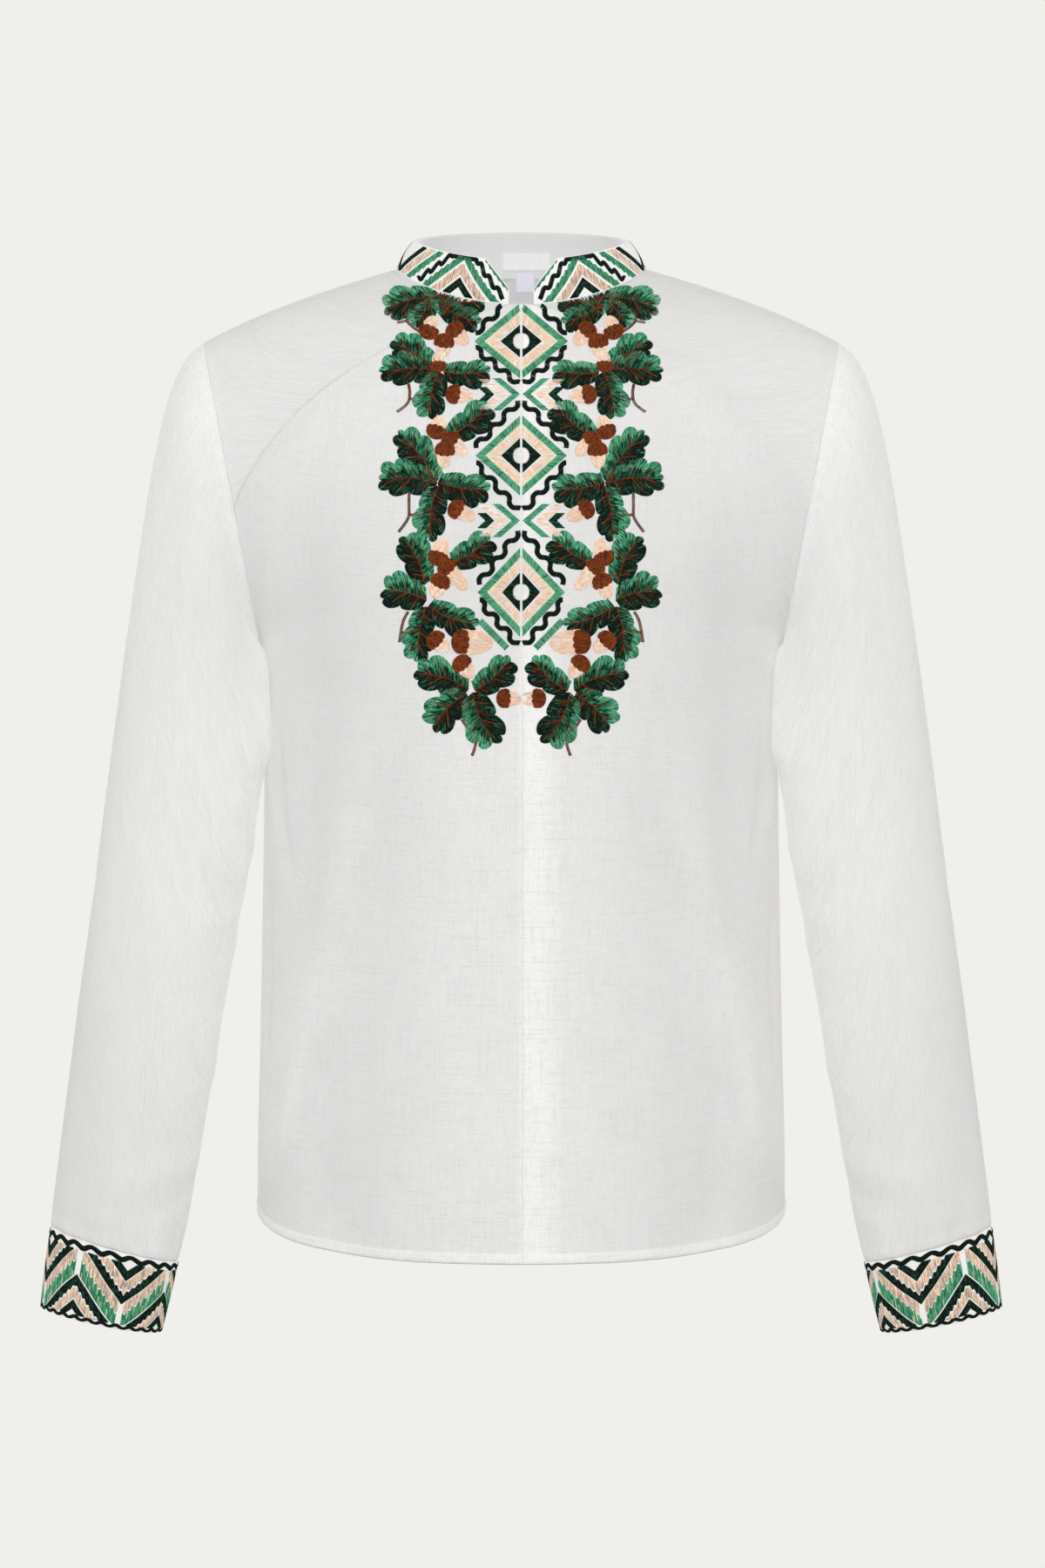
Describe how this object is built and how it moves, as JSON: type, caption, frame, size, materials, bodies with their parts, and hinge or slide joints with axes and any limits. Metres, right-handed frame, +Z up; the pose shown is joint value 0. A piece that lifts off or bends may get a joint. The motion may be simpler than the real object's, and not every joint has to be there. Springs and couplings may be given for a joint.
{
  "type": "embroidered shirt",
  "caption": "Long-sleeved folk shirt with a low stand collar, a hidden front closure and embroidered collar, chest and cuffs, hollow as when worn.",
  "frame": {"origin": "base of the neck, midway between the neck ends of the shoulder seams, where the wearer carries the shirt", "axes": "+X towards the wearer's left, +Y towards the wearer's back, +Z up along the wearer's spine"},
  "size_m": [0.6824, 0.2394, 0.7895],
  "materials": {
    "front_left": "white linen, embroidered at the centre",
    "front_right": "white linen, embroidered at the centre",
    "fly_facing": "white linen",
    "back": "white linen",
    "sleeve_left": "white linen",
    "sleeve_right": "white linen",
    "cuff_left": "stiffened white linen with green, black and beige embroidery",
    "cuff_right": "stiffened white linen with green, black and beige embroidery",
    "collar": "stiffened white linen with green, black and beige embroidery",
    "neck_label": "smooth woven label, blank",
    "size_tab": "smooth woven tab, blank"
  },
  "bodies": {
    "root": {"front_left": "front_left", "front_right": "front_right", "fly_facing": "fly_facing", "back": "back", "sleeve_left": "sleeve_left", "sleeve_right": "sleeve_right", "cuff_left": "cuff_left", "cuff_right": "cuff_right", "collar": "collar", "neck_label": "neck_label", "size_tab": "size_tab"}
  },
  "joints": []
}
